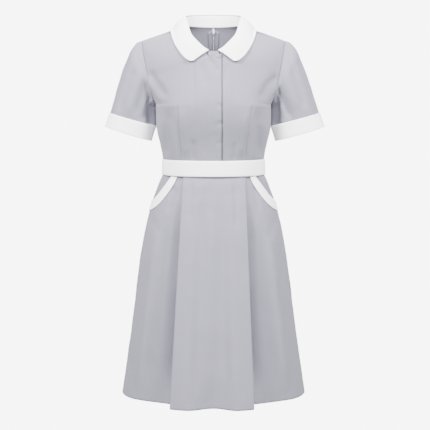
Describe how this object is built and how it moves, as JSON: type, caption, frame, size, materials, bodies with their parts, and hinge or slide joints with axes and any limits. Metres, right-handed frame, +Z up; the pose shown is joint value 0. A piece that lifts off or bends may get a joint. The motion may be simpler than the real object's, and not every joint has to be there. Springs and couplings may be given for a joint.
{
  "type": "short-sleeved uniform dress",
  "caption": "Knee-length grey uniform dress with white round collar, cuffs, waistband and pocket bands, filled out as if worn.",
  "frame": {"origin": "middle of the shoulder line, level with the neck ends of the shoulder seams, where the wearer's shoulders hold the dress up", "axes": "+Z up, -Y out of the front, +X towards the wearer's left"},
  "size_m": [0.5568, 0.3409, 0.9876],
  "materials": {
    "grey_cloth": "matt plain weave, light lilac grey",
    "white_cloth": "matt plain weave, white",
    "white_enamel": "glossy white enamel"
  },
  "bodies": {
    "dress": {"bodice_front_right": "grey_cloth", "bodice_front_left": "grey_cloth", "bodice_back_right": "grey_cloth", "bodice_back_left": "grey_cloth", "neck_band": "grey_cloth", "collar_stand_right": "white_cloth", "collar_stand_left": "white_cloth", "collar_right": "white_cloth", "collar_left": "white_cloth", "sleeve_right": "grey_cloth", "sleeve_left": "grey_cloth", "cuff_right": "white_cloth", "cuff_left": "white_cloth", "waistband": "white_cloth", "skirt_front": "grey_cloth", "hip_panel_right": "grey_cloth", "hip_panel_left": "grey_cloth", "pocket_band_right": "white_cloth", "pocket_band_left": "white_cloth", "skirt_back_right": "grey_cloth", "skirt_back_left": "grey_cloth", "zip_tape_right": "grey_cloth", "zip_tape_left": "grey_cloth", "zip_slider": "white_enamel"},
    "pull": {"zip_pull": "white_enamel"}
  },
  "joints": [
    {"name": "zip_pull_swing", "type": "hinge", "parent": "dress", "child": "pull", "pos_m": [0, 0.0676, -0.0105], "axis": [1, 0, 0], "range_deg": [0, 140]}
  ]
}
